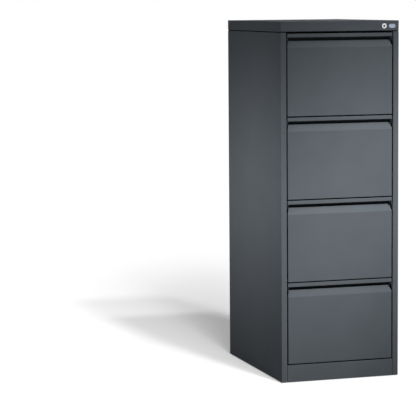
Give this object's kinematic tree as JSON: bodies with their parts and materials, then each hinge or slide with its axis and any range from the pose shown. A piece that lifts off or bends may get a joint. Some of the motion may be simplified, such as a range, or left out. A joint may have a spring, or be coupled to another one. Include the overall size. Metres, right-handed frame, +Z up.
{
  "type": "filing cabinet",
  "caption": "Upright steel filing cabinet with full-extension file drawers, recessed full-width pulls, a cam lock and a lock bar behind the stile.",
  "frame": {"origin": "on the floor, under the middle of the cabinet's box", "axes": "+X to the right seen from the front, +Y towards the back, +Z up; the drawers open towards -Y"},
  "size_m": [0.46, 0.62, 1.321],
  "materials": {
    "paint": "satin powder coat",
    "drawer_paint": "satin powder coat",
    "zinc_steel": "zinc plated",
    "ball_steel": "polished",
    "lock_chrome": "satin chrome",
    "lock_core": "dark",
    "badge_metal": "satin",
    "nylon": "moulded",
    "rubber": "matt"
  },
  "bodies": {
    "cabinet": {"side_panel_left": "paint", "side_panel_right": "paint", "back_panel": "paint", "lid": "paint", "lid_stiffener": "paint", "plinth": "paint", "base_pan": "paint", "front_posts": "zinc_steel", "rear_posts": "zinc_steel", "glides": "nylon", "glide_studs": "zinc_steel", "rear_bumpers": "rubber", "badge_plate": "badge_metal", "lock_housing": "lock_chrome", "lock_nut": "zinc_steel", "lock_bar_guides": "zinc_steel", "slide_outer_1": "zinc_steel", "slide_outer_2": "zinc_steel", "slide_outer_3": "zinc_steel", "slide_outer_4": "zinc_steel"},
    "drawer_1": {"front_skin_1": "drawer_paint", "front_inner_1": "drawer_paint", "tray_1": "drawer_paint", "tray_back_1": "drawer_paint", "file_rails_1": "zinc_steel", "slide_inner_1": "zinc_steel", "lock_catch_1": "zinc_steel"},
    "slides_1": {"slide_middle_1": "zinc_steel", "ball_cages_1": "ball_steel"},
    "drawer_2": {"front_skin_2": "drawer_paint", "front_inner_2": "drawer_paint", "tray_2": "drawer_paint", "tray_back_2": "drawer_paint", "file_rails_2": "zinc_steel", "slide_inner_2": "zinc_steel", "lock_catch_2": "zinc_steel"},
    "slides_2": {"slide_middle_2": "zinc_steel", "ball_cages_2": "ball_steel"},
    "drawer_3": {"front_skin_3": "drawer_paint", "front_inner_3": "drawer_paint", "tray_3": "drawer_paint", "tray_back_3": "drawer_paint", "file_rails_3": "zinc_steel", "slide_inner_3": "zinc_steel", "lock_catch_3": "zinc_steel"},
    "slides_3": {"slide_middle_3": "zinc_steel", "ball_cages_3": "ball_steel"},
    "drawer_4": {"front_skin_4": "drawer_paint", "front_inner_4": "drawer_paint", "tray_4": "drawer_paint", "tray_back_4": "drawer_paint", "file_rails_4": "zinc_steel", "slide_inner_4": "zinc_steel", "lock_catch_4": "zinc_steel"},
    "slides_4": {"slide_middle_4": "zinc_steel", "ball_cages_4": "ball_steel"},
    "lock": {"lock_barrel": "lock_core", "lock_cam": "zinc_steel"},
    "lock_bar": {"lock_bar": "zinc_steel", "lock_bar_tabs": "zinc_steel"}
  },
  "joints": [
    {"name": "drawer_1_slide", "type": "slide", "parent": "cabinet", "child": "drawer_1", "axis": [0, -1, 0], "range_m": [0, 0.54]},
    {"name": "slides_1_slide", "type": "slide", "parent": "cabinet", "child": "slides_1", "axis": [0, -1, 0], "range_m": [0, 0.27]},
    {"name": "drawer_2_slide", "type": "slide", "parent": "cabinet", "child": "drawer_2", "axis": [0, -1, 0], "range_m": [0, 0.54]},
    {"name": "slides_2_slide", "type": "slide", "parent": "cabinet", "child": "slides_2", "axis": [0, -1, 0], "range_m": [0, 0.27]},
    {"name": "drawer_3_slide", "type": "slide", "parent": "cabinet", "child": "drawer_3", "axis": [0, -1, 0], "range_m": [0, 0.54]},
    {"name": "slides_3_slide", "type": "slide", "parent": "cabinet", "child": "slides_3", "axis": [0, -1, 0], "range_m": [0, 0.27]},
    {"name": "drawer_4_slide", "type": "slide", "parent": "cabinet", "child": "drawer_4", "axis": [0, -1, 0], "range_m": [0, 0.54]},
    {"name": "slides_4_slide", "type": "slide", "parent": "cabinet", "child": "slides_4", "axis": [0, -1, 0], "range_m": [0, 0.27]},
    {"name": "lock_turn", "type": "hinge", "parent": "cabinet", "child": "lock", "pos_m": [0.172, -0.3085, 1.301], "axis": [0, 1, 0], "range_deg": [0, 90]},
    {"name": "lock_bar_lift", "type": "slide", "parent": "cabinet", "child": "lock_bar", "axis": [0, 0, 1], "range_m": [0, 0.0113]}
  ],
  "couplings": [
    {"joint": "slides_1_slide", "follows": "drawer_1_slide", "ratio": 0.5},
    {"joint": "slides_2_slide", "follows": "drawer_2_slide", "ratio": 0.5},
    {"joint": "slides_3_slide", "follows": "drawer_3_slide", "ratio": 0.5},
    {"joint": "slides_4_slide", "follows": "drawer_4_slide", "ratio": 0.5},
    {"joint": "lock_turn", "follows": "lock_bar_lift", "rad_per_m": 138.89}
  ]
}
